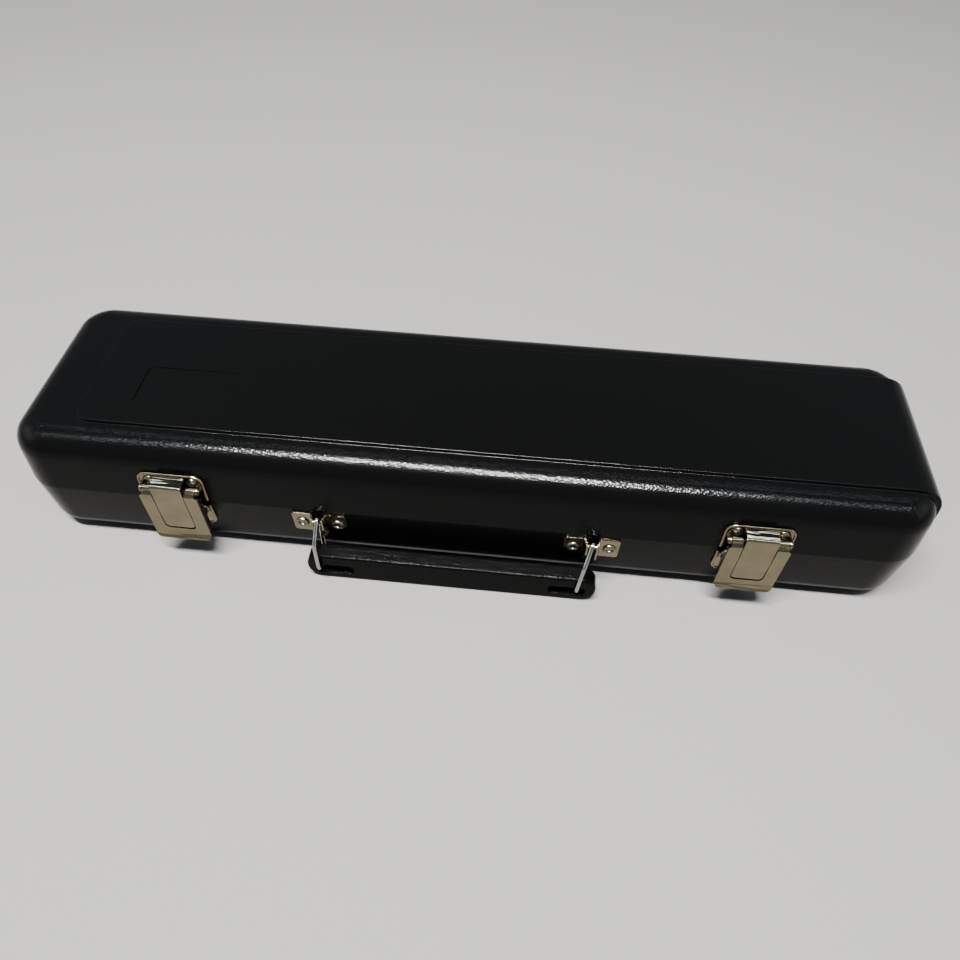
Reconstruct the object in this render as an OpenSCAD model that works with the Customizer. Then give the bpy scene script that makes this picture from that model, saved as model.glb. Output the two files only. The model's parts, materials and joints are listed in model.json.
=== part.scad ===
// Case for a three-piece concert flute: a drafted, rounded base and lid moulded in plastic,
// two draw latches, a carrying handle on two wire rings, two butt hinges and a soft lining.
// Millimetres. +X runs along the case, -Y is the front and +Z is up.
// The origin is the middle of the flat raised panel that the case rests on.

/* [Case body] */
// Length of the case at the seam
case_l = 415; // [380:1:450]
// Depth of the case at the seam, front to back
case_d = 102.4; // [98:0.2:120]
// Height of the base, from its bottom skin to the seam
base_h = 34.4; // [32:0.2:42]
// Height of the lid, from the seam to its top skin
lid_h = 29.7; // [26:0.1:40]
// Radius of the upright corners at the seam
corner_r = 18.7; // [17:0.1:24]
// Radius along the top edges of the lid
lid_edge_r = 12; // [8:0.5:13]
// Radius along the bottom edges of the base
base_edge_r = 11; // [8:0.5:13]
// Slope of the walls away from the seam, in degrees
draft = 4; // [2:0.5:5]
// Thickness of the moulded walls
wall_t = 2.8; // [2.4:0.1:3.4]

/* [Raised panels] */
// Height of the raised panels above the top and bottom skins
panel_rise = 1.6; // [1:0.1:2.5]
// How far the panels stand past the right end wall
end_rise = 2.4; // [1.5:0.1:3.5]
// Bare strip between a panel and the front or back of the seam
panel_strip = 16.2; // [14:0.2:24]
// Bare stretch between a panel and the left end of the seam
panel_end = 30.5; // [24:0.5:45]
// Radius of the panels' left corners
panel_r = 8; // [4:0.5:14]
// Length of the recess for a name label
label_l = 43.5; // [30:0.5:60]
// Width of the recess for a name label
label_w = 25; // [15:0.5:30]
// Depth of the recess for a name label
label_depth = 0.5; // [0.3:0.1:1]
// Distance from the left end of the panel to the recess
label_inset = 23; // [10:0.5:40]
// Distance from the middle of the lid back to the recess's far side
label_back = 2; // [0:0.5:15]
// Corner radius of the recess
label_r = 3; // [1:0.5:6]

/* [Rim] */
// Height of the base's inner lip above the seam
lip_h = 2.2; // [1.5:0.1:3]
// Thickness of the lip
lip_t = 1.25; // [1:0.05:1.4]
// Gap between the lip and the lid
lip_gap = 0.25; // [0.15:0.05:0.4]

/* [Lining] */
// Width of each bay in the base lining
bay_w = 34; // [30:0.5:36]
// Length of the bay for the body joint
body_bay_l = 366; // [340:1:370]
// Length of the bay for the head joint
head_bay_l = 232; // [210:1:235]
// Length of the bay for the foot joint
foot_bay_l = 124; // [110:1:125]
// Depth of each bay down to its ledges
ledge_depth = 13; // [9:0.5:14]
// Radius of the half-round grooves that hold the tubes
groove_r = 10.5; // [10:0.1:12]
// Distance that the base lining stays below the seam
insert_drop = 1.5; // [1:0.1:4]
// Thickness of the lid lining on its ceiling and sides
liner_t = 4; // [3:0.5:6]

/* [Latches] */
// Distance from each end of the case to the middle of its latch
latch_inset = 76.5; // [55:0.5:90]
// Width of the riveted plates
plate_w = 30.5; // [29.5:0.1:33]
// Thickness of the plates and of the lever's sheet
plate_t = 0.9; // [0.8:0.05:1]
// Height of the lid plate
lid_plate_h = 15; // [14.5:0.1:17]
// Height of the base plate
base_plate_h = 15.6; // [14:0.1:17]
// Width of the lever
lever_w = 26.5; // [25.5:0.1:26.5]
// Length of the lever below its pin
lever_drop = 30.9; // [29:0.1:33]
// Distance of the lever's outer face from the seam's edge
lever_out = 6.6; // [6.4:0.1:7.4]
// Width of the fixed cover between the lever's rails
cover_w = 14.2; // [13:0.1:15]
// Radius of the lever's hinge pin
lever_pin_r = 0.9; // [0.7:0.05:1]
// Furthest that a lever swings up, in degrees
lever_swing = 110; // [60:5:110]

/* [Handle] */
// Distance between the middles of the two handle brackets
bracket_span = 125.8; // [110:0.2:150]
// How far the middle of the handle lies right of the middle of the case
handle_shift = -2.5; // [-10:0.1:10]
// Width of a bracket over both of its tabs
bracket_w = 25.3; // [24:0.1:28]
// Height of a bracket's tabs
bracket_h = 13.8; // [12.5:0.1:15]
// Radius of the ring wire
wire_r = 1; // [0.8:0.05:1]
// Inward lean of the right ring, in degrees
ring_lean = 4.4; // [0:0.1:5]
// Turn of the right ring's front towards the middle of the handle, in degrees
ring_turn = 16; // [0:1:17]
// Length of the handle past the outer end of each slot
handle_end = 4.8; // [3.5:0.1:7]
// Thickness of the handle, front to back
handle_t = 8; // [7:0.1:8]
// Height of the handle
handle_h = 16.7; // [15:0.1:17]
// Length of the slot at each end of the handle
slot_l = 17.3; // [10:0.1:24]
// Height of the slots
slot_h = 6.4; // [5.6:0.1:7]

/* [Hinges] */
// Distance from each end of the case to the middle of its hinge
hinge_inset = 87.5; // [60:0.5:100]
// Width of a hinge
hinge_w = 38; // [30:0.5:50]
// Height of each hinge leaf above or below the seam
leaf_h = 14; // [13:0.5:17]
// Radius of the hinge pins
pin_r = 1.5; // [1.2:0.1:1.6]
// Outer radius of the hinge knuckles
knuckle_r = 2.8; // [2.6:0.1:3]
// Number of knuckles in a hinge
knuckles = 5; // [3:2:7]

/* [Hidden] */

// Shared values
cut = 5;                 // overrun of every cut past the face that it starts from
fine_fn = 64;            // facets of a full turn on round parts
corner_fn = 40;          // facets of a full turn on the shells' corners
edge_steps = 6;          // chords along the shells' rounded edges
lip_step = 0.1;          // ledge between the base's inner wall and its lip
gap = 0.3;               // clearance between pieces that lie beside each other
turn_gap = 0.05;         // clearance between a pin and what turns on it
seam_z = base_h + panel_rise;
front_y = -case_d / 2;
side = [-1, 1];

// Profile of a corner: up from the seam along the sloping wall, round the edge and in to the axis
function corner_profile(h, r, e, low) =
    let (c = r - e / cos(draft) - (h - e) * tan(draft))
    concat([[0, low], [r - low * tan(draft), low]],
        [for (i = [0:edge_steps]) let (a = draft + (90 - draft) * i / edge_steps)
            [c + e * cos(a), h - e + e * sin(a)]],
        [[0, h]]);

// Drafted tub with its open side down on the seam, grown outwards from the shell's own outline
module tub(h, grow, e, low = 0) {
    hull() for (sx = side, sy = side)
        translate([sx * (case_l / 2 - corner_r), sy * (case_d / 2 - corner_r), 0])
            rotate_extrude($fn = corner_fn) polygon(corner_profile(h, corner_r + grow, e, low));
}

// Outline of the case at the seam, grown by a distance
module seam_outline(grow) {
    square([case_l + 2 * grow, case_d - 2 * corner_r], center = true);
    square([case_l - 2 * corner_r, case_d + 2 * grow], center = true);
    for (sx = side, sy = side)
        translate([sx * (case_l / 2 - corner_r), sy * (case_d / 2 - corner_r)])
            circle(corner_r + grow, $fn = corner_fn);
}

// Rectangle from its lower left corner, with all four corners rounded
module rounded(w, h, r) {
    translate([r, 0]) square([w - 2 * r, h]);
    translate([0, r]) square([w, h - 2 * r]);
    for (x = [r, w - r], y = [r, h - r]) translate([x, y]) circle(r, $fn = fine_fn);
}

// Shell with its raised panel, open side down on the seam
module panelled_shell(h, e) {
    panel_x = panel_end - case_l / 2;
    panel_w = case_d - 2 * panel_strip;
    tub(h, 0, e);
    intersection() {
        tub(h + panel_rise, end_rise, e + panel_rise);
        translate([panel_x, -panel_w / 2, 0]) linear_extrude(h + panel_rise + cut)
            rounded(case_l + cut, panel_w, panel_r);
    }
}

// Frames on the walls: X along the case, -Y outwards and Z up from the seam
module at_front(x) { translate([x, front_y, seam_z]) children(); }
module at_back(x) { translate([x, -front_y, seam_z]) rotate([0, 0, 180]) children(); }
module on_lid_wall() { rotate([-draft, 0, 0]) children(); }
module on_base_wall() { rotate([draft, 0, 0]) children(); }
// Outlines drawn as seen from outside, rising outwards from the wall
module facing() { rotate([90, 0, 0]) children(); }
// Outlines drawn from the side, with the first value outwards and the second up
module sideways() { rotate([0, 0, -90]) rotate([90, 0, 0]) children(); }
// Cylinder along X with its middle at a point out from the wall and up from the seam
module cross_bar(u, z, r, l) {
    translate([-l / 2, -u, z]) rotate([0, 90, 0]) cylinder(h = l, r = r, $fn = fine_fn);
}

// Places of the fittings along the case, from left to right
latch_x = [for (s = side) s * (case_l / 2 - latch_inset)];
bracket_x = [for (s = side) handle_shift + s * bracket_span / 2];
hinge_x = [for (s = side) s * (case_l / 2 - hinge_inset)];

// Rivets: their sizes, and their places on the plate, tab or leaf that they hold
rivet_r = 1.4;           // shank
rivet_head_r = 2.2;
rivet_head_t = 0.8;
rivet_tail_r = 2.5;      // clenched end inside the wall
rivet_tail_t = 0.8;
rivet_hole_gap = 0.05;   // play round a shank
seat_gap = 0.02;         // play under a clenched end or a pin's head
eyelet_r = 3.1;          // open rivets of the handle brackets: rim, crest and dish
eyelet_crest_r = 2.35;
eyelet_dish_r = 1.6;
eyelet_t = 0.9;
eyelet_floor_t = 0.3;
lid_rivet_x = 9.9;
lid_rivet_z = 12.8;
base_rivet_x = 11.8;
base_rivet_z = -5;
leaf_rivet_shares = [-0.32, 0, 0.32];
leaf_rivet_z = 8.7;
tab_rivet_inset = 4.4;   // from the outer end of a bracket's tab
tab_top = -1.6;          // upper edge of the brackets, from the seam
tab_t = 1;
leaf_t = 1;
tab_rivet_x = bracket_w / 2 - tab_rivet_inset;
tab_rivet_z = tab_top - bracket_h / 2;

module rivet_hole(x, z) {
    translate([x, cut + wall_t, z]) facing()
        cylinder(h = 2 * cut + wall_t, r = rivet_r + rivet_hole_gap, $fn = fine_fn);
}

// Rivet turned from the outline of its head, with its clenched end inside the shell
module turned_rivet(x, z, plate, head) {
    tail = [[0, -wall_t - rivet_tail_t], [rivet_tail_r, -wall_t - rivet_tail_t],
        [rivet_tail_r, -wall_t - seat_gap], [rivet_r, -wall_t - seat_gap], [rivet_r, plate]];
    translate([x, 0, z]) facing() rotate_extrude($fn = fine_fn) polygon(concat(tail, head));
}

// Domed rivet
module rivet(x, z, plate) {
    turned_rivet(x, z, plate, [for (i = [0:edge_steps]) let (a = 90 * i / edge_steps)
        [rivet_head_r * cos(a), plate + rivet_head_t * sin(a)]]);
}

// Open rivet with a rolled rim round a dished middle
module eyelet(x, z, plate) {
    rim = eyelet_r - eyelet_crest_r;
    lip = eyelet_crest_r - eyelet_dish_r;
    turned_rivet(x, z, plate, concat(
        [for (i = [0:edge_steps]) let (a = 90 * i / edge_steps)
            [eyelet_crest_r + rim * cos(a), plate + eyelet_t * sin(a)]],
        [for (i = [1:edge_steps]) let (a = 90 * i / edge_steps)
            [eyelet_crest_r - lip * sin(a), plate + eyelet_floor_t + (eyelet_t - eyelet_floor_t) * cos(a)]],
        [[0, plate + eyelet_floor_t]]));
}

module lid_wall_holes() {
    for (x = latch_x) at_front(x) on_lid_wall() for (s = side) rivet_hole(s * lid_rivet_x, lid_rivet_z);
    for (x = hinge_x) at_back(x) on_lid_wall()
        for (share = leaf_rivet_shares) rivet_hole(share * hinge_w, leaf_rivet_z);
}

module base_wall_holes() {
    for (x = latch_x) at_front(x) on_base_wall() for (s = side) rivet_hole(s * base_rivet_x, base_rivet_z);
    for (x = bracket_x) at_front(x) on_base_wall() for (s = side) rivet_hole(s * tab_rivet_x, tab_rivet_z);
    for (x = hinge_x) at_back(x) on_base_wall()
        for (share = leaf_rivet_shares) rivet_hole(share * hinge_w, -leaf_rivet_z);
}

module base_shell() {
    color([0.05, 0.05, 0.055]) {
        difference() {
            translate([0, 0, seam_z]) mirror([0, 0, 1]) difference() {
                panelled_shell(base_h, base_edge_r);
                tub(base_h - wall_t, -wall_t, base_edge_r - wall_t, -cut);
            }
            base_wall_holes();
        }
        translate([0, 0, seam_z - lip_t]) linear_extrude(lip_t + lip_h) difference() {
            seam_outline(lip_t - wall_t);
            seam_outline(lip_step - wall_t);
        }
    }
}

module lid_shell() {
    label_x = panel_end - case_l / 2 + label_inset;
    color([0.05, 0.05, 0.055]) difference() {
        translate([0, 0, seam_z]) difference() {
            panelled_shell(lid_h, lid_edge_r);
            tub(lid_h - wall_t, -wall_t, lid_edge_r - wall_t, -cut);
            translate([0, 0, -cut]) linear_extrude(cut + lip_h + lip_gap)
                seam_outline(lip_t + lip_gap - wall_t);
            translate([label_x, label_back - label_w, lid_h + panel_rise - label_depth])
                linear_extrude(cut) rounded(label_l, label_w, label_r);
        }
        lid_wall_holes();
    }
}

// Lining: play beside it for the clenched rivets, and the bays for the three joints
rivet_room = 0.4;        // between the lining and the rivets' clenched ends
lining_play = rivet_tail_t + rivet_room;
wall_between = (case_d - 2 * (wall_t + lining_play) - 2 * bay_w) / 3;
bay_r = 6;
groove_depth = ledge_depth + groove_r;
groove_end = 8;          // ledge left at each end of a groove
body_bay_y = -(wall_between + bay_w) / 2;
back_bay_y = -body_bay_y;
joint_wall = 10;         // between the two back bays
head_bay_x = -(foot_bay_l + joint_wall) / 2;
foot_bay_x = (head_bay_l + joint_wall) / 2;

// Bay about its middle: a wide ledge, and below it a half-round groove
module bay(x, y, l) {
    top = seam_z - insert_drop;
    translate([x - l / 2, y - bay_w / 2, top - ledge_depth]) linear_extrude(ledge_depth + cut)
        rounded(l, bay_w, bay_r);
    translate([x + groove_end - l / 2, y, top - ledge_depth]) rotate([0, 90, 0])
        cylinder(h = l - 2 * groove_end, r = groove_r, $fn = fine_fn);
}

module base_insert() {
    color([0.12, 0.16, 0.42]) difference() {
        translate([0, 0, seam_z]) mirror([0, 0, 1])
            tub(base_h - wall_t, -wall_t - lining_play, base_edge_r - wall_t - lining_play, insert_drop);
        bay(0, body_bay_y, body_bay_l);
        bay(head_bay_x, back_bay_y, head_bay_l);
        bay(foot_bay_x, back_bay_y, foot_bay_l);
    }
}

module lid_liner() {
    start = lip_h + lip_gap + gap;
    color([0.12, 0.16, 0.42]) translate([0, 0, seam_z]) difference() {
        tub(lid_h - wall_t, -wall_t - lining_play, lid_edge_r - wall_t - lining_play, start);
        tub(lid_h - wall_t - liner_t, -wall_t - lining_play - liner_t,
            lid_edge_r - wall_t - lining_play - liner_t / 2, -cut);
    }
}

// Latch: a plate on the lid with two ears, a plate on the base with two keepers, a fixed cover,
// and a lever on a pin through the ears, whose hooks catch under the keepers.
// Places are out from the seam's edge and up from the seam.
pin_out = 3;
pin_up = 10.4;
pin_head_t = 0.5;
pin_head_r = 1.3;
plate_low = 2;           // lid plate's lower edge above the seam
base_plate_low = 1.5;    // base plate's upper edge below the seam
plate_corner_r = 4.5;
base_corner_r = 4.5;
ear_t = 0.9;
ear_r = 1.9;
ear_inset = 0.85;        // inner face of an ear, in from the lever's side
ear_x = lever_w / 2 - ear_inset;
rail_in = cover_w / 2 + gap;
lever_in = lever_out - plate_t;
lever_low = pin_up - lever_drop;
lever_knuckle_r = 2;
bend_drop = 0.7;         // bend between the lever's face and its shoulder, below the pin
lever_bend = pin_up - bend_drop;
window_low = -14.4;      // lower edge of the lever's window
window_r = 2.5;
lip_run = 3.2;           // height of the flared finger lip
lip_out = 1.7;           // how far the finger lip flares outwards
bevel = 3.7;             // cut at the lever's upper outer corners
lever_r = 3;             // lever's lower corners
keeper_x = 10;
keeper_w = 4.4;
keeper_z = -8.4;         // underside of a keeper
keeper_out = 3.8;
keeper_window = 3.8;     // height of the opening that a keeper was bent out of
hook_w = 3;
hook_t = 1;
hook_in = 1.4;

module plate_outline(w, h, r) {
    intersection() {
        rounded(w, 2 * h, r);
        square([w, h]);
    }
}

module lid_plate(x) {
    color([0.75, 0.73, 0.68]) at_front(x) {
        difference() {
            on_lid_wall() facing() linear_extrude(plate_t)
                translate([plate_w / 2, plate_low + lid_plate_h]) rotate(180)
                    plate_outline(plate_w, lid_plate_h, plate_corner_r);
            on_lid_wall() for (s = side) rivet_hole(s * lid_rivet_x, lid_rivet_z);
        }
        difference() {
            for (s = side) translate([s * (ear_x + ear_t / 2), 0, 0]) sideways()
                linear_extrude(ear_t, center = true) {
                    translate([pin_out, pin_up]) circle(ear_r, $fn = fine_fn);
                    translate([plate_t / 2 - pin_up * tan(draft), pin_up - ear_r])
                        square([pin_out - plate_t / 2 + pin_up * tan(draft), 2 * ear_r]);
                }
            cross_bar(pin_out, pin_up, lever_pin_r + turn_gap, lever_w + 2 * cut);
        }
    }
}

module base_plate(x) {
    color([0.75, 0.73, 0.68]) at_front(x) on_base_wall() {
        difference() {
            translate([-plate_w / 2, 0, -base_plate_low - base_plate_h]) facing()
                linear_extrude(plate_t) plate_outline(plate_w, base_plate_h, base_corner_r);
            for (s = side) {
                rivet_hole(s * base_rivet_x, base_rivet_z);
                translate([s * keeper_x - keeper_w / 2, cut, keeper_z - keeper_window])
                    cube([keeper_w, 2 * cut, keeper_window]);
            }
        }
        for (s = side) translate([s * keeper_x - keeper_w / 2, -keeper_out, keeper_z])
            cube([keeper_w, keeper_out, plate_t]);
    }
}

// Cover seen from the side: a foot on the lid plate, a roof, a rounded bend and a tongue
roof_inset = 0.8;        // top of the roof below the plate's upper edge
roof_back = plate_low + lid_plate_h - roof_inset;
roof_fall = 0.8;         // how far the roof falls towards its bend
roof_r = 1.6;            // outer radius of the bend
foot_low = 13.2;         // lower edge of the foot behind the roof
tongue_gap = 0.8;        // between the tongue's end and the lever's window
tongue_sink = 0.1;       // how far the tongue lies behind the lever's face
tongue_low = window_low + tongue_gap;
tongue_out = lever_out - tongue_sink;
tongue_bend = 0.25;      // how far the tongue's middle stands out

// Outer face of the lid plate at a height, out from the seam's edge
function plate_face(z) = plate_t / cos(draft) - z * tan(draft);
function roof_bend(r, a) = [tongue_out - roof_r + r * cos(a), roof_back - roof_fall - roof_r + r * sin(a)];

module latch_cover(x) {
    inner_r = roof_r - plate_t;
    outer = [for (i = [0:edge_steps]) roof_bend(roof_r, 90 - 90 * i / edge_steps)];
    inner = [for (i = [0:edge_steps]) roof_bend(inner_r, 90 * i / edge_steps)];
    color([0.8, 0.78, 0.72]) at_front(x) intersection() {
        sideways() linear_extrude(cover_w, center = true) polygon(concat(
            [[plate_face(roof_back), roof_back]], outer,
            [[tongue_out + tongue_bend, 0], [tongue_out, tongue_low],
                [tongue_out - plate_t, tongue_low], [tongue_out + tongue_bend - plate_t, 0]],
            inner,
            [[plate_face(roof_back) + plate_t, roof_back - plate_t],
                [plate_face(foot_low) + plate_t, foot_low], [plate_face(foot_low), foot_low]]));
        translate([-cover_w / 2, 0, tongue_low]) facing()
            translate([0, 0, -cut]) linear_extrude(lever_out + 2 * cut)
                plate_outline(cover_w, roof_back + cut - tongue_low, window_r - gap);
    }
}

// Lever seen from outside: two rails and a bottom bar round the open window
module lever_outline() {
    top = pin_up + lever_knuckle_r;
    difference() {
        intersection() {
            translate([-lever_w / 2, lever_low])
                plate_outline(lever_w, top - lever_low, lever_r);
            polygon([[-lever_w / 2, lever_low], [lever_w / 2, lever_low],
                [lever_w / 2, top - bevel], [lever_w / 2 - bevel, top],
                [bevel - lever_w / 2, top], [-lever_w / 2, top - bevel]]);
        }
        translate([-rail_in, window_low])
            plate_outline(2 * rail_in, top - window_low + cut, window_r);
    }
}

// Lever seen from the side: a shoulder bent back to the pin, the face and the flared lip
module lever_side() {
    polygon([[pin_out, pin_up + lever_knuckle_r], [lever_out, lever_bend],
        [lever_out, lever_low + lip_run], [lever_out + lip_out, lever_low],
        [lever_in + lip_out, lever_low], [lever_in, lever_low + lip_run],
        [lever_in, lever_bend - plate_t / 2], [pin_out, pin_up + lever_knuckle_r - plate_t]]);
}

module latch_lever(x) {
    color([0.75, 0.73, 0.68]) at_front(x) difference() {
        union() {
            intersection() {
                sideways() linear_extrude(lever_w, center = true) lever_side();
                facing() linear_extrude(lever_out + lip_out + cut) lever_outline();
            }
            for (s = side) {
                translate([s * (rail_in + ear_x - gap) / 2, 0, 0])
                    cross_bar(pin_out, pin_up, lever_knuckle_r, ear_x - gap - rail_in);
                translate([s * keeper_x - hook_w / 2, -lever_in - plate_t / 2, keeper_z - gap - hook_t])
                    cube([hook_w, lever_in - hook_in + plate_t / 2, hook_t]);
            }
        }
        cross_bar(pin_out, pin_up, lever_pin_r + turn_gap, lever_w + cut);
    }
}

// Pin with a thin head outside each ear
module lever_pin(x) {
    head_x = ear_x + ear_t + seat_gap;
    color([0.7, 0.68, 0.64]) at_front(x) {
        cross_bar(pin_out, pin_up, lever_pin_r, 2 * (head_x + pin_head_t));
        for (s = side) translate([s * (head_x + pin_head_t / 2), 0, 0])
            cross_bar(pin_out, pin_up, pin_head_r, pin_head_t);
    }
}

// Handle bracket: a strap with two riveted tabs, bent out to two ears with a slit between them,
// and a short bar behind the slit for the ring. Places are out from the seam's edge and up from it.
bar_out = 3.4;
bar_z = -4;
bar_r = 1;
bar_reach = 2.8;         // from the bracket's middle to each end of the bar
ear_foot = 4.2;          // outer bend of an ear at the wall, from the bracket's middle
ear_foot_t = 1.1;        // ear's thickness along the wall, at its foot and at its crest
ear_crest_t = 0.8;
ear_out = 4.6;           // crest of the ears, out from the seam's edge
ear_low = 3;             // how far the crest's lower end lies above the tabs' lower edge
slit_half = 1.9;
tab_r = 1.4;             // outer corners of the tabs
module handle_bracket(x) {
    tab_low = tab_top - bracket_h;
    tab_in = ear_foot - ear_foot_t;
    color([0.75, 0.73, 0.68]) at_front(x) {
        on_base_wall() difference() {
            for (s = side) intersection() {
                translate([-bracket_w / 2, 0, tab_low]) facing()
                    linear_extrude(tab_t) rounded(bracket_w, bracket_h, tab_r);
                translate([s * (tab_in + bracket_w) / 2, 0, 0])
                    cube([bracket_w - tab_in, 2 * cut, 2 * (bracket_h - tab_top)], center = true);
            }
            for (s = side) rivet_hole(s * tab_rivet_x, tab_rivet_z);
        }
        intersection() {
            translate([0, 0, tab_low]) linear_extrude(bracket_h) for (s = side)
                polygon([[s * ear_foot, cut], [s * ear_foot, 0], [s * (slit_half + ear_crest_t), -ear_out],
                    [s * slit_half, -ear_out], [s * tab_in, 0], [s * tab_in, cut]]);
            sideways() linear_extrude(2 * ear_foot, center = true) polygon([
                [0, tab_top], [ear_out, tab_top], [ear_out, tab_low + ear_low],
                [tab_t + tab_low * tan(draft), tab_low], [tab_low * tan(draft), tab_low]]);
        }
        cross_bar(bar_out, bar_z, bar_r, 2 * bar_reach);
    }
}

// Wire ring: arcs about three centres, joined by tangents. Each row is out, up and radius.
ring_shoulder_out = 8.6;
ring_shoulder_z = -11.5;
ring_shoulder_r = 5;
ring_low_out = 8.1;
ring_low_z = -23.9;
ring_low_r = 6.1;
ring_arcs = [[bar_out, bar_z, bar_r + wire_r + gap],
    [ring_shoulder_out, ring_shoulder_z, ring_shoulder_r], [ring_low_out, ring_low_z, ring_low_r]];
arc_steps = [8, 5, 14];
wire_sides = 12;

// Direction out of the ring along the tangent from one arc to the next
function tangent_normal(a, b) =
    atan2(b[1] - a[1], b[0] - a[0]) + acos((a[2] - b[2]) / norm([b[0] - a[0], b[1] - a[1]]));

// Stations along the ring: the centre of the wire and the direction out of the ring there
function ring_stations() = [for (i = [0:2])
    let (arc = ring_arcs[i], next = ring_arcs[(i + 1) % 3], last = ring_arcs[(i + 2) % 3],
        start = tangent_normal(last, arc), end = tangent_normal(arc, next),
        sweep = (start - end + 360) % 360)
    for (k = [0:arc_steps[i]]) let (a = start - sweep * k / arc_steps[i])
        [arc[0] + arc[2] * cos(a), arc[1] + arc[2] * sin(a), a]];

module handle_ring(x, lean, turn) {
    stations = ring_stations();
    count = len(stations);
    points = [for (st = stations) for (k = [0:wire_sides - 1]) let (t = 360 * k / wire_sides)
        [st[0] + wire_r * cos(t) * cos(st[2]), st[1] + wire_r * cos(t) * sin(st[2]), wire_r * sin(t)]];
    faces = [for (i = [0:count - 1]) for (k = [0:wire_sides - 1])
        let (i2 = (i + 1) % count, k2 = (k + 1) % wire_sides,
            p = i * wire_sides + k, q = i * wire_sides + k2,
            r = i2 * wire_sides + k, s = i2 * wire_sides + k2)
        for (face = [[p, s, q], [p, r, s]]) face];
    color([0.8, 0.79, 0.77]) at_front(x)
        translate([0, -bar_out, bar_z]) rotate([0, lean, 0]) rotate([0, 0, -turn])
            translate([0, bar_out, -bar_z]) sideways() polyhedron(points, faces);
}

// Handle: a bar with rounded ends and a slot through each end for a ring
handle_out = 8.3;        // middle of the handle, out from the seam's edge
handle_low = 0.3;        // underside of the handle above the rest face
handle_r = 7.5;          // end corners seen from the front
handle_edge_r = 1.2;     // long edges
slot_r = 2.2;
slot_low = 3.7;          // slot above the handle's underside
slot_reach = 0.4;        // free slot beyond the ring wire
ring_foot = (bar_z - ring_low_z) * tan(ring_lean)
    + (handle_out - handle_t / 2 - bar_out) * tan(ring_turn) - wire_r / cos(ring_turn);
// Corner of the handle: a disc across its thickness with a rounded rim
module handle_corner() {
    half_t = handle_t / 2;
    arc = [for (i = [0:edge_steps]) let (a = 90 * i / edge_steps)
        [handle_r - handle_edge_r * (1 - cos(a)), half_t - handle_edge_r * (1 - sin(a))]];
    low = [for (i = [0:edge_steps]) let (p = arc[edge_steps - i]) [p[0], -p[1]]];
    rotate([90, 0, 0]) rotate_extrude($fn = corner_fn)
        polygon(concat([[0, -half_t]], low, arc, [[0, half_t]]));
}

module handle_bar() {
    left_end = bracket_x[0] - wire_r - slot_reach;
    right_end = bracket_x[1] - ring_foot + slot_reach;
    color([0.04, 0.04, 0.045]) translate([0, front_y - handle_out, handle_low]) difference() {
        hull() for (x = [left_end - handle_end + handle_r, right_end + handle_end - handle_r],
            z = [handle_r, handle_h - handle_r]) translate([x, 0, z]) handle_corner();
        for (x = [left_end, right_end - slot_l]) translate([x, cut + handle_t / 2, slot_low])
            facing() linear_extrude(handle_t + 2 * cut) rounded(slot_l, slot_h, slot_r);
    }
}

// Butt hinge: leaves riveted to the back walls, with knuckles shared along one pin
hinge_out = 3.1;         // pin axis, out from the seam's edge
side_gap = 0.15;         // play between neighbouring knuckles
leaf_r = 2;
// One leaf, with the knuckles numbered from a first one in steps of two; turned over for the base
module hinge_leaf(first, tilt) {
    pitch = hinge_w / knuckles;
    clear = knuckle_r + gap;
    difference() {
        union() {
            rotate([-tilt, 0, 0]) {
                translate([hinge_w / 2, 0, leaf_h]) facing() linear_extrude(leaf_t)
                    rotate(180) rounded(hinge_w, leaf_h - clear, leaf_r);
            }
            for (k = [first:2:knuckles - 1]) translate([pitch * (k + 0.5) - hinge_w / 2, 0, 0]) {
                cross_bar(hinge_out, 0, knuckle_r, pitch - side_gap);
                sideways() linear_extrude(pitch - side_gap, center = true) polygon([
                    [0, 0], [leaf_t, 0], [leaf_t - clear * tan(tilt), clear + leaf_r],
                    [-clear * tan(tilt), clear + leaf_r]]);
            }
        }
        cross_bar(hinge_out, 0, pin_r + turn_gap, hinge_w + cut);
        rotate([-tilt, 0, 0]) for (share = leaf_rivet_shares) rivet_hole(share * hinge_w, leaf_rivet_z);
    }
}
module lid_leaf(x) { color([0.72, 0.7, 0.66]) at_back(x) hinge_leaf(1, draft); }
module base_leaf(x) { color([0.72, 0.7, 0.66]) at_back(x) mirror([0, 0, 1]) hinge_leaf(0, draft); }
module hinge_pin(x) { color([0.7, 0.68, 0.64]) at_back(x) cross_bar(hinge_out, 0, pin_r, hinge_w); }

module latch_base_rivets() {
    color([0.3, 0.29, 0.27]) for (x = latch_x) at_front(x) on_base_wall()
        for (s = side) rivet(s * base_rivet_x, base_rivet_z, plate_t);
}
module latch_lid_rivets() {
    color([0.3, 0.29, 0.27]) for (x = latch_x) at_front(x) on_lid_wall()
        for (s = side) rivet(s * lid_rivet_x, lid_rivet_z, plate_t);
}
module bracket_rivets() {
    color([0.6, 0.58, 0.54]) for (x = bracket_x) at_front(x) on_base_wall()
        for (s = side) eyelet(s * tab_rivet_x, tab_rivet_z, tab_t);
}
module base_hinge_rivets() {
    color([0.6, 0.58, 0.54]) for (x = hinge_x) at_back(x) on_base_wall()
        for (share = leaf_rivet_shares) rivet(share * hinge_w, -leaf_rivet_z, leaf_t);
}
module lid_hinge_rivets() {
    color([0.6, 0.58, 0.54]) for (x = hinge_x) at_back(x) on_lid_wall()
        for (share = leaf_rivet_shares) rivet(share * hinge_w, leaf_rivet_z, leaf_t);
}

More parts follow.
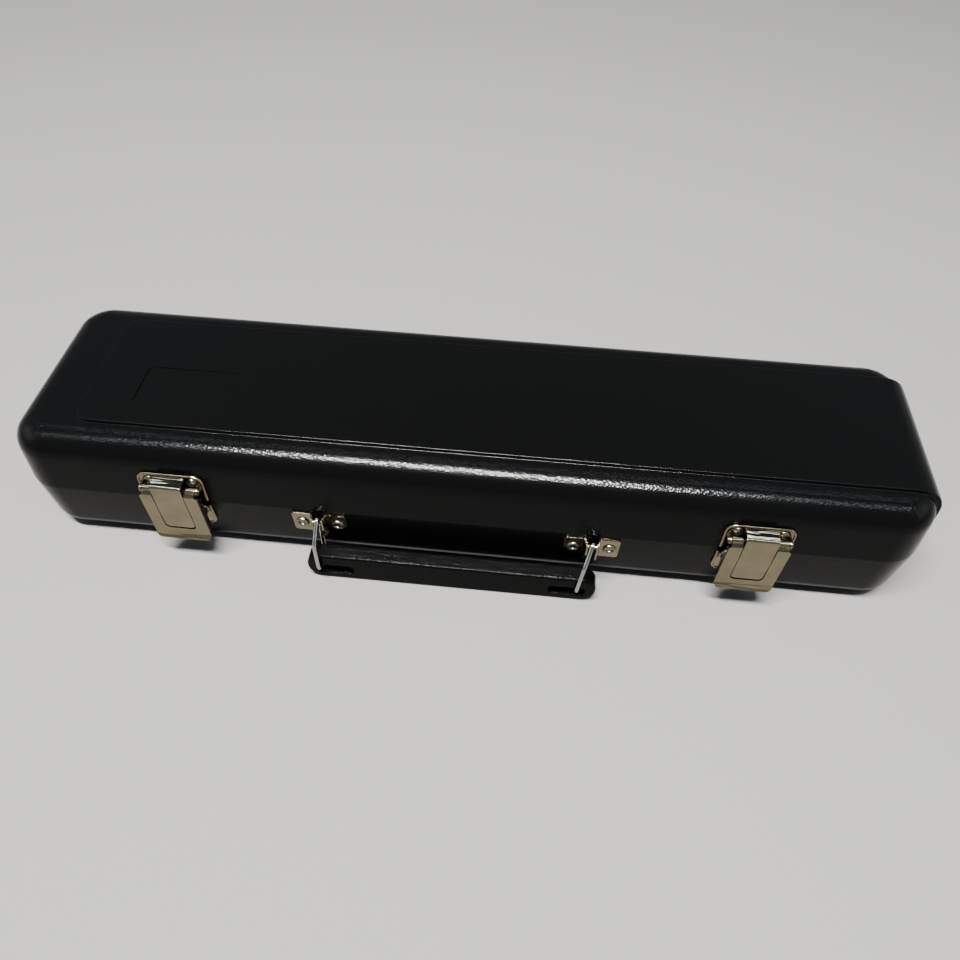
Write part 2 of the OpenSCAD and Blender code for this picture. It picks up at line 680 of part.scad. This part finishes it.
base_shell();
base_insert();
base_plate(latch_x[0]);  // left_base_plate
base_plate(latch_x[1]);  // right_base_plate
latch_base_rivets();
handle_bracket(bracket_x[0]);  // left_handle_bracket
handle_bracket(bracket_x[1]);  // right_handle_bracket
bracket_rivets();
base_leaf(hinge_x[0]);  // left_base_leaf
base_leaf(hinge_x[1]);  // right_base_leaf
base_hinge_rivets();
hinge_pin(hinge_x[0]);  // left_hinge_pin
hinge_pin(hinge_x[1]);  // right_hinge_pin
lid_shell();
lid_liner();
lid_plate(latch_x[0]);  // left_lid_plate
lid_plate(latch_x[1]);  // right_lid_plate
latch_cover(latch_x[0]);  // left_latch_cover
latch_cover(latch_x[1]);  // right_latch_cover
latch_lid_rivets();
lid_leaf(hinge_x[0]);  // left_lid_leaf
lid_leaf(hinge_x[1]);  // right_lid_leaf
lid_hinge_rivets();
lever_pin(latch_x[0]);  // left_lever_pin
lever_pin(latch_x[1]);  // right_lever_pin
latch_lever(latch_x[0]);  // left_latch_lever
latch_lever(latch_x[1]);  // right_latch_lever
handle_ring(bracket_x[0], 0, 0);  // left_handle_ring
handle_ring(bracket_x[1], ring_lean, ring_turn);  // right_handle_ring
handle_bar();
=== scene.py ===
"""Looks of the flute case: black grained plastic, bright nickel fittings and a plush lining."""
import json
import math
import bpy
import bmesh
from mathutils import Matrix, Vector, noise


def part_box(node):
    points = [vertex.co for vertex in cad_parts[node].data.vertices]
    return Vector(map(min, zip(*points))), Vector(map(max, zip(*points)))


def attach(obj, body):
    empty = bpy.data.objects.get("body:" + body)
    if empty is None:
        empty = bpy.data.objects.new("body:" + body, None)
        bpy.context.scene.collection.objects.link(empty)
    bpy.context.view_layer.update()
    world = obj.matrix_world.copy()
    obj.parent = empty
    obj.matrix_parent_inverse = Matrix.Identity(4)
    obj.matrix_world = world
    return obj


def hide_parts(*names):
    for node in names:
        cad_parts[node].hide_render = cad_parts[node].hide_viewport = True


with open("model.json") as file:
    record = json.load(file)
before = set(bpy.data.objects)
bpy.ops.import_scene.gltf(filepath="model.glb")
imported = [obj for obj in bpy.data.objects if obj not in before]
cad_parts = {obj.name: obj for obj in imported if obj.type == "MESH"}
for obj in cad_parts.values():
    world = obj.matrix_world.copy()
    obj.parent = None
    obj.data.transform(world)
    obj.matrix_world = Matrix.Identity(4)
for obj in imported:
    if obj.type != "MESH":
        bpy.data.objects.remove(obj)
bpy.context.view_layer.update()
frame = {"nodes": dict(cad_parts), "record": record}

MM = 0.001
WELD = 0.005 * MM                       # points nearer than this are one
FLAT_ANGLE = math.radians(0.6)          # faces that turn less than this are one flat face
SHARP_ANGLE = math.radians(28)          # edges that turn more than this are real edges


def direction(heading, elevation):
    """Unit vector at a heading to the right of +Y and an elevation above the horizon, in degrees."""
    a, e = math.radians(heading), math.radians(elevation)
    return Vector((math.sin(a) * math.cos(e), math.cos(a) * math.cos(e), math.sin(e)))


def new_object(name, data):
    """Object of the scene from a mesh, camera or light."""
    made = bpy.data.objects.new(name, data)
    bpy.context.scene.collection.objects.link(made)
    return made


def make_camera():
    """Camera of the photograph, fitted to the case's outline."""
    place = Vector((25.0, -259.3, 324.0)) * MM
    heading, down, roll = -4.51, 50.74, 1.47
    lens, sensor = 29.40, 36.0
    forward = direction(heading, -down)
    right = forward.cross(Vector((0, 0, 1))).normalized()
    up = right.cross(forward)
    turn = Matrix.Rotation(math.radians(-roll), 3, forward)
    right, up = turn @ right, turn @ up
    data = bpy.data.cameras.new("camera")
    data.lens, data.sensor_width = lens, sensor
    camera = new_object("camera", data)
    axes = Matrix((right, up, -forward)).transposed()
    camera.matrix_world = Matrix.Translation(place) @ axes.to_4x4()
    bpy.context.scene.camera = camera


# Materials

def new_material(name, color, roughness, metallic=0.0, specular=0.5):
    """Material with a Principled shader, and a short way to add nodes and links to it."""
    material = bpy.data.materials.new(name)
    material.use_nodes = True
    tree = material.node_tree
    shader = tree.nodes["Principled BSDF"]
    shader.inputs["Base Color"].default_value = (*color, 1)
    shader.inputs["Roughness"].default_value = roughness
    shader.inputs["Metallic"].default_value = metallic
    shader.inputs["Specular IOR Level"].default_value = specular

    def add(kind, links=(), **values):
        node = tree.nodes.new("ShaderNode" + kind)
        for key, value in values.items():
            if key.startswith("set_"):
                setattr(node, key[4:], value)
            else:
                node.inputs[key.replace("_", " ")].default_value = value
        for socket, source in links:
            tree.links.new(source, node.inputs[socket])
        return node

    def link(source, socket):
        tree.links.new(source, shader.inputs[socket])

    return material, add, link


def set_ramp(ramp, low, high, first, last):
    """Colour ramp from its first colour at low to its last one at high."""
    for element, position, color in zip(ramp.elements, (low, high), (first, last)):
        element.position = position
        element.color = (*color, 1)


def scaled(color, factors):
    """Colour with each of its channels multiplied by a factor."""
    return tuple(value * factor for value, factor in zip(color, factors))


def facing_up(add, low, high):
    """Factor that grows from 0 to 1 as the surface's normal rises from low to high."""
    shape = add("NewGeometry")
    facing = add("SeparateXYZ", [("Vector", shape.outputs["Normal"])])
    upper = add("MapRange", [("Value", facing.outputs["Z"])], From_Min=low, From_Max=high)
    return upper.outputs["Result"]


def drawn_lines(add, place, scale, detail):
    """Noise stretched along the case into fine lines."""
    stretch = add("Mapping", [("Vector", place.outputs["Object"])], Scale=scale)
    lines = add("TexNoise", [("Vector", stretch.outputs["Vector"])], Scale=1.0, Detail=detail)
    return lines.outputs["Fac"]


def black_plastic():
    """Black moulded plastic with a pebble grain, and a roughness that drifts a little."""
    material, add, link = new_material("black_plastic", (0.0005, 0.0005, 0.0005), 0.17, specular=0.06)
    place = add("TexCoord")
    grain = add("TexVoronoi", [("Vector", place.outputs["Object"])], Scale=1100.0)
    bump = add("Bump", [("Height", grain.outputs["Distance"])], Strength=1.0, Distance=0.00007)
    link(bump.outputs["Normal"], "Normal")
    drift = add("TexNoise", [("Vector", place.outputs["Object"])], Scale=26.0, Detail=4.0)
    rough = add("MapRange", [("Value", drift.outputs["Fac"])], To_Min=0.14, To_Max=0.20)
    link(rough.outputs["Result"], "Roughness")
    return material


def nickel(name, color, roughness, dent=0.25, streak=0.0):
    """Bright plated metal with soft waves, faint marks and tarnish, and streaks on what faces up."""
    smoothest, roughest = 0.6, 1.5
    dull, bright = (0.88, 0.88, 0.84), (1.12, 1.12, 1.16)
    material, add, link = new_material(name, color, roughness, metallic=1.0)
    place = add("TexCoord")
    waves = add("TexNoise", [("Vector", place.outputs["Object"])], Scale=160.0, Detail=2.0)
    marks = add("TexNoise", [("Vector", place.outputs["Object"])], Scale=1400.0, Detail=4.0)
    rough = add("MapRange", [("Value", marks.outputs["Fac"])],
                To_Min=roughness * smoothest, To_Max=roughness * roughest)
    link(rough.outputs["Result"], "Roughness")
    tarnish = add("TexNoise", [("Vector", place.outputs["Object"])], Scale=110.0, Detail=4.0)
    tint = add("ValToRGB", [("Fac", tarnish.outputs["Fac"])])
    set_ramp(tint.color_ramp, 0.3, 0.7, scaled(color, dull), scaled(color, bright))
    link(tint.outputs["Color"], "Base Color")
    bump = add("Bump", [("Height", waves.outputs["Fac"])], Strength=dent, Distance=0.0004)
    lines = drawn_lines(add, place, (50.0, 480.0, 480.0), 1.0)
    height = add("Math", [(0, lines), (1, facing_up(add, 0.15, 0.5))], set_operation="MULTIPLY")
    streaks = add("Bump", [("Height", height.outputs[0]), ("Normal", bump.outputs["Normal"])],
                  Strength=streak, Distance=0.0006)
    link(streaks.outputs["Normal"], "Normal")
    return material


def handle_plastic():
    """Smoother black plastic of the handle, with lengthwise scuffs on its upper side."""
    material, add, link = new_material("handle_plastic", (0.0005, 0.0005, 0.0005), 0.26, specular=0.03)
    place = add("TexCoord")
    lines = drawn_lines(add, place, (60.0, 900.0, 900.0), 5.0)
    pebble = add("TexVoronoi", [("Vector", place.outputs["Object"])], Scale=1100.0)
    both = add("Math", [(0, lines), (1, pebble.outputs["Distance"])], set_operation="ADD")
    height = add("Math", [(0, both.outputs[0]), (1, facing_up(add, 0.8, 0.95))], set_operation="MULTIPLY")
    bump = add("Bump", [("Height", height.outputs[0])], Strength=0.8, Distance=0.0003)
    link(bump.outputs["Normal"], "Normal")
    return material


def plush():
    """Dark blue short pile: a soft sheen and a fine nap."""
    material, add, link = new_material("plush", (0.0027, 0.0047, 0.022), 0.9, specular=0.02)
    shader = material.node_tree.nodes["Principled BSDF"]
    shader.inputs["Sheen Weight"].default_value = 0.05
    shader.inputs["Sheen Roughness"].default_value = 0.45
    shader.inputs["Sheen Tint"].default_value = (0.2, 0.28, 0.75, 1)
    place = add("TexCoord")
    nap = add("TexNoise", [("Vector", place.outputs["Object"])], Scale=1600.0, Detail=3.0)
    brushed = add("TexNoise", [("Vector", place.outputs["Object"])], Scale=35.0, Detail=3.0, Distortion=0.6)
    tint = add("ValToRGB", [("Fac", brushed.outputs["Fac"])])
    set_ramp(tint.color_ramp, 0.35, 0.7, (0.0018, 0.0032, 0.015), (0.0036, 0.0062, 0.029))
    link(tint.outputs["Color"], "Base Color")
    bump = add("Bump", [("Height", nap.outputs["Fac"])], Strength=0.6, Distance=0.0004)
    link(bump.outputs["Normal"], "Normal")
    return material


# Pieces

def paint(piece, material):
    """Gives a piece one material, in place of any that it has."""
    piece.data.materials.clear()
    piece.data.materials.append(material)


def smooth(mesh):
    for face in mesh.polygons:
        face.use_smooth = True


def sharp(edge):
    """Says whether an edge is a real one, which stays sharp or is rounded."""
    return len(edge.link_faces) == 2 and edge.calc_face_angle(0) > SHARP_ANGLE


def weld_points(piece, name, distance):
    weld = piece.modifiers.new(name, "WELD")
    weld.merge_threshold = distance


def round_edges(piece, width):
    """Small rounded edges, with a width in mm."""
    edge = piece.modifiers.new("edge", "BEVEL")
    edge.width, edge.segments = width * MM, 2
    edge.limit_method, edge.angle_limit = "ANGLE", SHARP_ANGLE


def even_shading(piece):
    """Shading that keeps the flat faces flat between their rounded edges."""
    even = piece.modifiers.new("even", "WEIGHTED_NORMAL")
    even.keep_sharp = True


def dress(node, material, bevel):
    """Gives a CAD node its material, and small rounded edges that catch the light."""
    leaf_weld = 0.006 * MM
    piece = frame["nodes"][node]
    paint(piece, material)
    if "custom_normal" in piece.data.attributes:
        piece.data.attributes.remove(piece.data.attributes["custom_normal"])
    smooth(piece.data)
    weld_points(piece, "weld", WELD)
    if node.endswith("ring"):
        rounder = piece.modifiers.new("rounder", "SUBSURF")
        rounder.levels = rounder.render_levels = 2
        return
    flat = piece.modifiers.new("flat", "DECIMATE")
    flat.decimate_type, flat.angle_limit = "DISSOLVE", FLAT_ANGLE
    round_edges(piece, bevel)
    if node.endswith("leaf"):
        weld_points(piece, "close", leaf_weld)
    even_shading(piece)


def lid_skin(material):
    """Lid with a fillet along its panel's step, where the lamp draws two thin bright lines."""
    panel_rise, panel_y = 1.6, 35.0
    step_fillet, label_fillet = 0.6, 0.15
    label_low, label_high = (-155.0, -24.0), (-109.0, 3.0)
    near_level, near_side = 0.05, 0.1
    piece = new_object("lid_skin", frame["nodes"]["lid_shell"].data.copy())
    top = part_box("lid_shell")[1][2] / MM
    body = bmesh.new()
    body.from_mesh(piece.data)
    bmesh.ops.remove_doubles(body, verts=body.verts, dist=WELD)
    bmesh.ops.dissolve_limit(body, angle_limit=FLAT_ANGLE, verts=body.verts, edges=body.edges)

    def level(edge, z):
        return all(abs(vertex.co.z / MM - z) < near_level for vertex in edge.verts)

    def in_label(edge):
        x, y, z = (edge.verts[0].co + edge.verts[1].co) / 2 / MM
        return label_low[0] < x < label_high[0] and label_low[1] < y < label_high[1] and z > top - panel_rise

    def on_side(edge):
        return all(abs(abs(vertex.co.y) / MM - panel_y) < near_side for vertex in edge.verts)

    label = [edge for edge in body.edges if sharp(edge) and in_label(edge)]
    bmesh.ops.bevel(body, geom=label, offset=label_fillet * MM, segments=2, profile=0.5, affect="EDGES")
    step = [edge for edge in body.edges if sharp(edge) and not in_label(edge)
            and (level(edge, top) or level(edge, top - panel_rise) or on_side(edge))]
    bmesh.ops.bevel(body, geom=step, offset=step_fillet * MM, segments=4, profile=0.5, affect="EDGES")
    for edge in body.edges:
        edge.smooth = not sharp(edge)
    body.to_mesh(piece.data)
    body.free()
    smooth(piece.data)
    even_shading(piece)
    paint(piece, material)
    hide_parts("lid_shell")
    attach(piece, "lid")


# Front wall, seam and latches' places along the case in mm, and the slope of the walls
FRONT_Y, SEAM_Z = -51.2, 36.0
DRAFT = math.radians(4)
LATCHES = {"left": -131.0, "right": 131.0}


def on_wall(x, out, up, lean):
    """Point of the drafted wall's own frame, leaning inwards above the seam (1) or below it (-1)."""
    y = FRONT_Y - out * math.cos(DRAFT) + lean * up * math.sin(DRAFT)
    z = SEAM_Z + up * math.cos(DRAFT) + lean * out * math.sin(DRAFT)
    return Vector((x, y, z)) * MM


def add_piece(name, body, material, points, faces, bevel=0.0):
    """New piece of the scene from its points and faces, carried by a body."""
    mesh = bpy.data.meshes.new(name)
    mesh.from_pydata(points, [], faces)
    mesh.validate()
    fix = bmesh.new()
    fix.from_mesh(mesh)
    bmesh.ops.recalc_face_normals(fix, faces=fix.faces)
    for edge in fix.edges:
        edge.smooth = not sharp(edge)
    fix.to_mesh(mesh)
    fix.free()
    smooth(mesh)
    piece = new_object(name, mesh)
    if bevel:
        round_edges(piece, bevel)
    even_shading(piece)
    paint(piece, material)
    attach(piece, body)


def plate_rims(material):
    """Rolled rims along the outlines of the latches' riveted plates."""
    plate_w, plate_t, corner_r = 30.5, 0.9, 4.5
    rim_w, rim_h, sunk = 1.2, 0.5, 0.05
    arc_steps, sides = 8, 8
    half = plate_w / 2 - rim_w / 2
    bend = corner_r - rim_w / 2
    # Body, side of the seam, and the plate's start and height from the seam
    rows = (("lid", 1, 2.0, 15.0), ("base", -1, 1.5, 15.6))
    for hand, latch_x in LATCHES.items():
        for body, sign, start, height in rows:
            end = start + height - rim_w / 2
            # Points of the rim's middle line, each with the direction across it
            path = [(-half, start, -1, 0)]
            for center_x, first in ((bend - half, 180), (half - bend, 90)):
                for step in range(arc_steps + 1):
                    a = math.radians(first - 90 * step / arc_steps)
                    path.append((center_x + bend * math.cos(a), end - bend + bend * math.sin(a),
                                 math.cos(a), math.sin(a)))
            path.append((half, start, 1, 0))
            points = []
            for x, up, across_x, across_up in path:
                for k in range(sides + 1):
                    a = math.pi * k / sides
                    shift = rim_w / 2 * math.cos(a)
                    out = plate_t - sunk + rim_h * math.sin(a)
                    points.append(on_wall(latch_x + x + across_x * shift, out,
                                          sign * (up + across_up * shift), sign))
            ring = sides + 1
            last = (len(path) - 1) * ring
            faces = [(i + k, i + (k + 1) % ring, i + ring + (k + 1) % ring, i + ring + k)
                     for i in range(0, last, ring) for k in range(ring)]
            faces += [tuple(range(ring)), tuple(last + k for k in range(ring))]
            add_piece(hand + "_" + body + "_plate_rim", body, material, points, faces)


def lever_flanges(material):
    """Side flanges of the levers, bent back from the face towards the case."""
    inner_x, thick = 12.4, 0.8
    # Out from the wall and up from the seam
    outline = ((5.75, 7.6), (4.3, 7.6), (3.0, 6.0), (2.9, -13.2), (4.4, -16.0), (5.75, -16.6))
    count = len(outline)
    for hand, latch_x in LATCHES.items():
        for side, sign in (("left", -1), ("right", 1)):
            points = [Vector((latch_x + sign * x, FRONT_Y - out, SEAM_Z + up)) * MM
                      for x in (inner_x, inner_x + thick) for out, up in outline]
            faces = [tuple(range(count)), tuple(range(count, 2 * count))]
            faces += [(k, (k + 1) % count, count + (k + 1) % count, count + k) for k in range(count)]
            add_piece(hand + "_lever_" + side + "_flange", hand + "_lever", material,
                      points, faces, bevel=0.2)


def soft_skin(name, node, voxel, swell):
    """Soft lining grown from a CAD solid: every edge rounded, and the surface a little uneven."""
    piece = new_object(name, frame["nodes"][node].data.copy())
    remesh = piece.modifiers.new("remesh", "REMESH")
    remesh.mode, remesh.voxel_size = "VOXEL", voxel * MM
    soften = piece.modifiers.new("soften", "SMOOTH")
    soften.factor, soften.iterations = 0.5, 8
    shaped = piece.evaluated_get(bpy.context.evaluated_depsgraph_get())
    mesh = bpy.data.meshes.new_from_object(shaped)
    piece.modifiers.clear()
    piece.data = mesh
    moves = [vertex.normal * swell(vertex.co, vertex.normal) * MM for vertex in mesh.vertices]
    for vertex, move in zip(mesh.vertices, moves):
        vertex.co += move
    smooth(mesh)
    return piece


LINING_SHRINK = 0.3                     # in mm, so that the swollen linings stay in the shells


def uneven(place, size, amount):
    """Gentle unevenness of padding, in mm, over lumps of a size in mm."""
    return amount * noise.noise(place / (size * MM))


def tray_swell(place, normal):
    """Swell of the moulded tray, the same whichever way its surface faces."""
    return uneven(place, 28, 0.35) - LINING_SHRINK


def make_linings(material):
    """Plush over the moulded tray of the base, and over a padded panel in the lid."""
    tray = soft_skin("base_lining", "base_insert", 1.6, tray_swell)
    low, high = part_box("lid_liner")
    channel_in, channel_w, channel_deep = 13, 3.2, 1.5
    facing_down = -0.5

    def pad_swell(place, normal):
        """Swell of the lid's pad, with a sewn channel a little inside its edge."""
        dent = 0
        if normal.z < facing_down:
            edge = min(place.x - low[0], high[0] - place.x, place.y - low[1], high[1] - place.y) / MM
            dent = channel_deep * math.exp(-((edge - channel_in) / channel_w) ** 2)
        return uneven(place, 34, 0.3) - LINING_SHRINK - dent

    pad = soft_skin("lid_lining", "lid_liner", 1.4, pad_swell)
    for piece, node, body, fill in ((tray, "base_insert", "base", 0.9), (pad, "lid_liner", "lid", 0.8)):
        paint(piece, material)
        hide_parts(node)
        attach(piece, body)


def make_floor():
    """Plain pale floor under the case, much wider than any view of it."""
    bpy.ops.mesh.primitive_plane_add(size=8, location=(0, 0, 0))
    floor = bpy.context.object
    floor.name = "floor"
    material = new_material("floor", (0.074, 0.0729, 0.0707), 0.8, specular=0.05)[0]
    paint(floor, material)


def area_light(name, heading, elevation, distance, size, power, color=(1, 1, 1)):
    """Soft rectangular light aimed at the middle of the case, with distances in metres."""
    middle = Vector((0, 0, 0.03))
    data = bpy.data.lights.new(name, "AREA")
    data.shape, data.size, data.size_y = "RECTANGLE", size[0], size[1]
    data.energy, data.color = power, color
    light = new_object(name, data)
    way = direction(heading, elevation)
    light.location = way * distance + middle
    light.rotation_mode = "QUATERNION"
    light.rotation_quaternion = way.to_track_quat("Z", "Y")


def make_world():
    """Room that is pale at the sides and a dark blue overhead."""
    world = bpy.data.worlds.new("studio")
    world.use_nodes = True
    tree = world.node_tree
    place = tree.nodes.new("ShaderNodeTexCoord")
    split = tree.nodes.new("ShaderNodeSeparateXYZ")
    ramp = tree.nodes.new("ShaderNodeValToRGB")
    tree.links.new(place.outputs["Generated"], split.inputs[0])
    tree.links.new(split.outputs["Z"], ramp.inputs["Fac"])
    tree.links.new(ramp.outputs["Color"], tree.nodes["Background"].inputs["Color"])
    set_ramp(ramp.color_ramp, 0.0, 0.9, (0.56, 0.58, 0.60), (0.04, 0.07, 0.13))
    wall = ramp.color_ramp.elements.new(0.7)
    wall.color = (0.40, 0.46, 0.52, 1)
    bpy.context.scene.world = world


def make_lights():
    """Long lamp overhead, dim strips that draw lines in the metal, and side fills."""
    warm, bluish = (1, 0.98, 0.95), (0.74, 0.84, 1)
    area_light("lamp", 195, 74.8, 1.5, size=(0.86, 0.06), power=330, color=warm)
    area_light("front_strip", 180, 74.8, 1.52, size=(2.3, 0.14), power=32, color=bluish)
    area_light("back_strip", 0, 67, 1.5, size=(2.3, 0.09), power=10, color=bluish)
    for name, heading in (("left_fill", -100), ("right_fill", 100)):
        area_light(name, heading, 28, 1.6, size=(1.0, 0.8), power=5)


make_camera()
make_floor()
make_world()
make_lights()

abs_plastic = black_plastic()
# The metals' base colours are darker than plating, and the nickel ones tan: partly the metals' own colour,
# partly painted reflection of dark tan surroundings that the pale floor here does not give.
sheet_nickel = nickel("sheet_nickel", (0.187, 0.162, 0.099), 0.08, streak=0.5)
rivet_nickel = nickel("rivet_nickel", (0.15, 0.14, 0.11), 0.18)
chrome = nickel("chrome", (0.32, 0.315, 0.30), 0.05, dent=0.0)
grip = handle_plastic()
pile = plush()
# Material of each slot, and the width of its rounded edges in mm
looks = {
    "black_abs": (abs_plastic, 0.35),
    "nickel_plate": (sheet_nickel, 0.3),
    "rivet_nickel": (rivet_nickel, 0.1),
    "pin_steel": (rivet_nickel, 0.1),
    "ring_chrome": (chrome, 0.02),
    "handle_black": (grip, 0.3),
    "plush": (pile, 0.8),
}
for row in frame["record"]["subparts"]:
    material, bevel = looks[row["material_slot"]]
    dress(row["node"], material, bevel)
lid_skin(abs_plastic)
plate_rims(sheet_nickel)
lever_flanges(sheet_nickel)
make_linings(pile)
